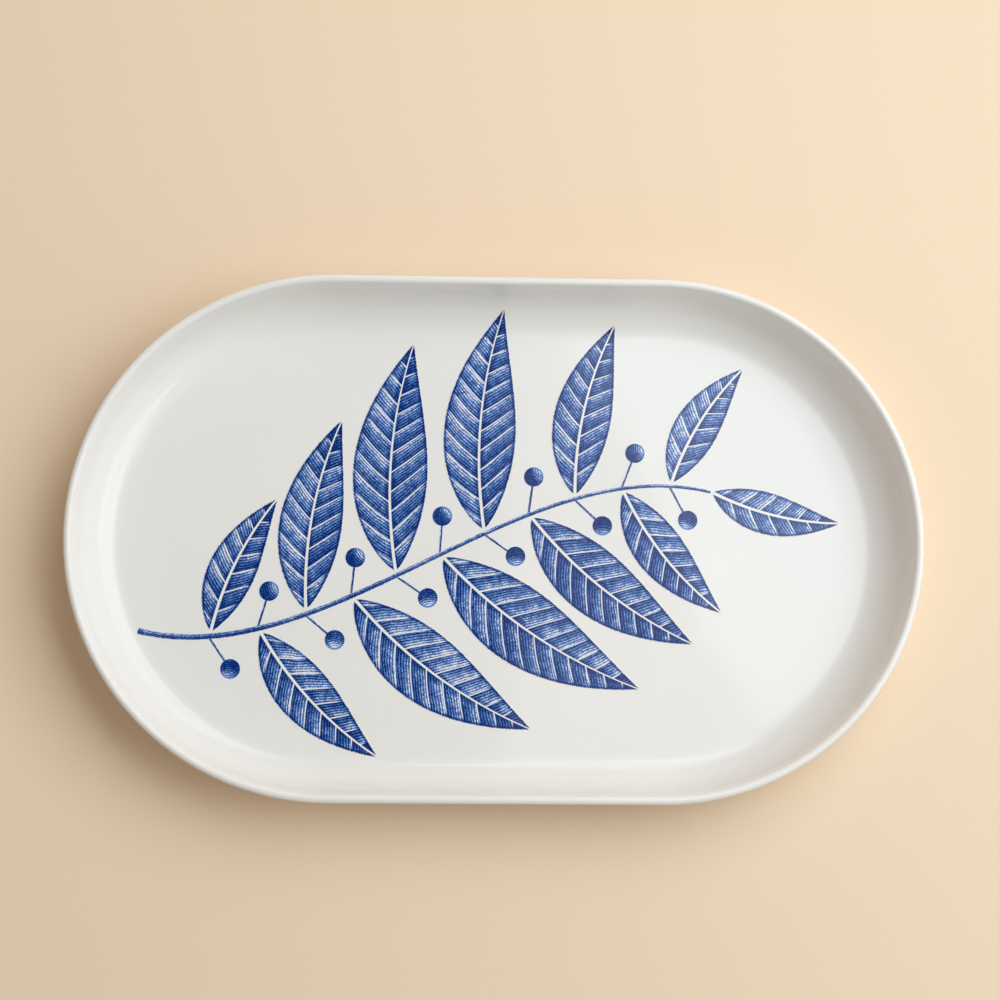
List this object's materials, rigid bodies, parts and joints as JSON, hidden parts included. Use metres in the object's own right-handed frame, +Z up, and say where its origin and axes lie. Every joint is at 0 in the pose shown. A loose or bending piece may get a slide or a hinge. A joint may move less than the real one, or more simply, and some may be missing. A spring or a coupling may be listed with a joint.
{
  "type": "serving platter",
  "caption": "Long oval porcelain serving platter with a flat well, steep coved wall, thin rounded lip, foot ring and a blue leaf-spray print under a clear gloss.",
  "frame": {"origin": "middle of the plane that the foot ring stands on", "axes": "+X along the platter, +Y across it towards the far long side in the picture, +Z up out of the well"},
  "size_m": [0.36, 0.222, 0.033],
  "materials": {
    "porcelain": "bare fired porcelain, fine and matt, seen only on the foot ring",
    "glaze": "clear gloss glaze over white porcelain",
    "enamel": "gloss cobalt blue print with fine engraved lines"
  },
  "bodies": {
    "root": {"porcelain_body": "porcelain", "upper_glaze": "glaze", "base_glaze": "glaze", "print_stem": "enamel", "print_leaf_01": "enamel", "print_leaf_02": "enamel", "print_leaf_03": "enamel", "print_leaf_04": "enamel", "print_leaf_05": "enamel", "print_leaf_06": "enamel", "print_leaf_07": "enamel", "print_leaf_08": "enamel", "print_leaf_09": "enamel", "print_leaf_10": "enamel", "print_leaf_11": "enamel", "print_end_leaf": "enamel"}
  },
  "joints": []
}
